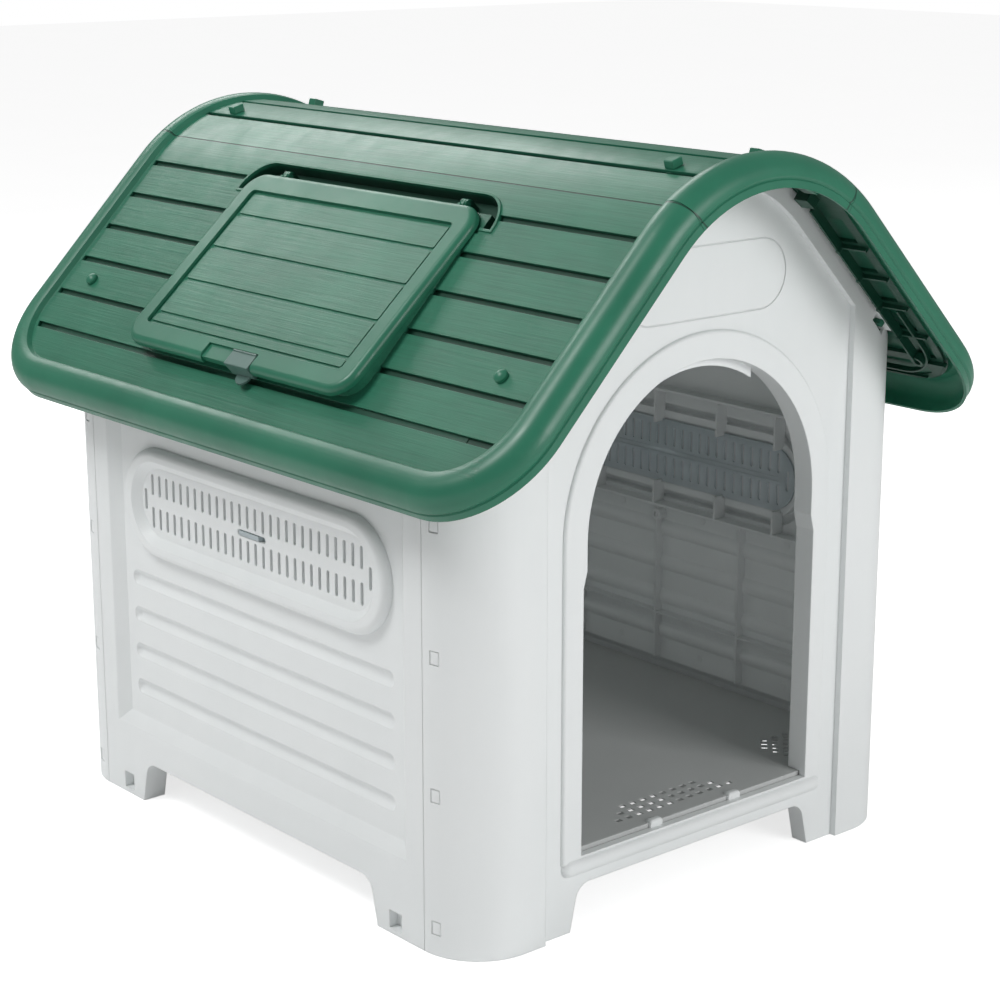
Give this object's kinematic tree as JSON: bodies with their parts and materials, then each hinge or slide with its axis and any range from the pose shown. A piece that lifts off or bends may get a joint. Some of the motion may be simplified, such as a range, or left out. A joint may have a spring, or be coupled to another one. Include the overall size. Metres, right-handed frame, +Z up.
{
  "type": "moulded plastic animal hutch",
  "caption": "Flat-pack plastic animal house with rounded plank roof, lifting roof hatch, arched doorway, sliding side vents and drained raised floor.",
  "frame": {"origin": "on the ground at the centre of the bounding box", "axes": "+Z up, the doorway gable faces -Y, the ridge runs along Y, the roof hatch is on the -X slope"},
  "size_m": [0.7148, 0.882, 0.7571],
  "materials": {
    "roof_green": "fine moulded wood-grain texture, satin",
    "wall_white": "smooth satin moulding, cool white",
    "tray_grey": "satin grey moulding",
    "latch_dark": "satin grey-green moulding",
    "pin_green": "smooth satin",
    "shutter_blue": "slightly translucent blue-grey moulding"
  },
  "bodies": {
    "house": {"floor_tray": "tray_grey", "front_wall": "wall_white", "back_wall": "wall_white", "left_wall": "wall_white", "right_wall": "wall_white", "left_roof_panel": "roof_green", "right_roof_panel": "roof_green", "ridge_cap": "roof_green", "hatch_hinge_pin_front": "pin_green", "hatch_hinge_pin_rear": "pin_green"},
    "hatch": {"roof_hatch": "roof_green"},
    "latch": {"hatch_latch": "latch_dark"},
    "left_shutter": {"left_vent_shutter": "shutter_blue"},
    "right_shutter": {"right_vent_shutter": "shutter_blue"},
    "ridge_lock_left_front": {"ridge_lock_left_front": "roof_green"},
    "eave_lock_left_front": {"eave_lock_left_front": "roof_green"},
    "ridge_lock_left_rear": {"ridge_lock_left_rear": "roof_green"},
    "eave_lock_left_rear": {"eave_lock_left_rear": "roof_green"},
    "ridge_lock_right_front": {"ridge_lock_right_front": "roof_green"},
    "eave_lock_right_front": {"eave_lock_right_front": "roof_green"},
    "ridge_lock_right_rear": {"ridge_lock_right_rear": "roof_green"},
    "eave_lock_right_rear": {"eave_lock_right_rear": "roof_green"}
  },
  "joints": [
    {"name": "hatch_hinge", "type": "hinge", "parent": "house", "child": "hatch", "pos_m": [-0.13274, 0, 0.69258], "axis": [0, 1, 0], "range_deg": [0, 95]},
    {"name": "latch_slide", "type": "slide", "parent": "hatch", "child": "latch", "axis": [0, 1, 0], "range_m": [0, 0.036]},
    {"name": "left_shutter_slide", "type": "slide", "parent": "house", "child": "left_shutter", "axis": [0, -1, 0], "range_m": [0, 0.007]},
    {"name": "right_shutter_slide", "type": "slide", "parent": "house", "child": "right_shutter", "axis": [0, 1, 0], "range_m": [0, 0.007]},
    {"name": "ridge_lock_left_front_turn", "type": "hinge", "parent": "house", "child": "ridge_lock_left_front", "pos_m": [-0.05567, -0.3585, 0.74165], "axis": [-0.284, 0, 0.9588], "range_deg": [0, 90]},
    {"name": "eave_lock_left_front_turn", "type": "hinge", "parent": "house", "child": "eave_lock_left_front", "pos_m": [-0.26035, -0.352, 0.56842], "axis": [-0.7133, 0, 0.7009], "range_deg": [0, 90]},
    {"name": "ridge_lock_left_rear_turn", "type": "hinge", "parent": "house", "child": "ridge_lock_left_rear", "pos_m": [-0.05567, 0.3585, 0.74165], "axis": [-0.284, 0, 0.9588], "range_deg": [0, 90]},
    {"name": "eave_lock_left_rear_turn", "type": "hinge", "parent": "house", "child": "eave_lock_left_rear", "pos_m": [-0.26035, 0.352, 0.56842], "axis": [-0.7133, 0, 0.7009], "range_deg": [0, 90]},
    {"name": "ridge_lock_right_front_turn", "type": "hinge", "parent": "house", "child": "ridge_lock_right_front", "pos_m": [0.05567, -0.3585, 0.74165], "axis": [0.284, 0, 0.9588], "range_deg": [0, 90]},
    {"name": "eave_lock_right_front_turn", "type": "hinge", "parent": "house", "child": "eave_lock_right_front", "pos_m": [0.26035, -0.352, 0.56842], "axis": [0.7133, 0, 0.7009], "range_deg": [0, 90]},
    {"name": "ridge_lock_right_rear_turn", "type": "hinge", "parent": "house", "child": "ridge_lock_right_rear", "pos_m": [0.05567, 0.3585, 0.74165], "axis": [0.284, 0, 0.9588], "range_deg": [0, 90]},
    {"name": "eave_lock_right_rear_turn", "type": "hinge", "parent": "house", "child": "eave_lock_right_rear", "pos_m": [0.26035, 0.352, 0.56842], "axis": [0.7133, 0, 0.7009], "range_deg": [0, 90]}
  ]
}
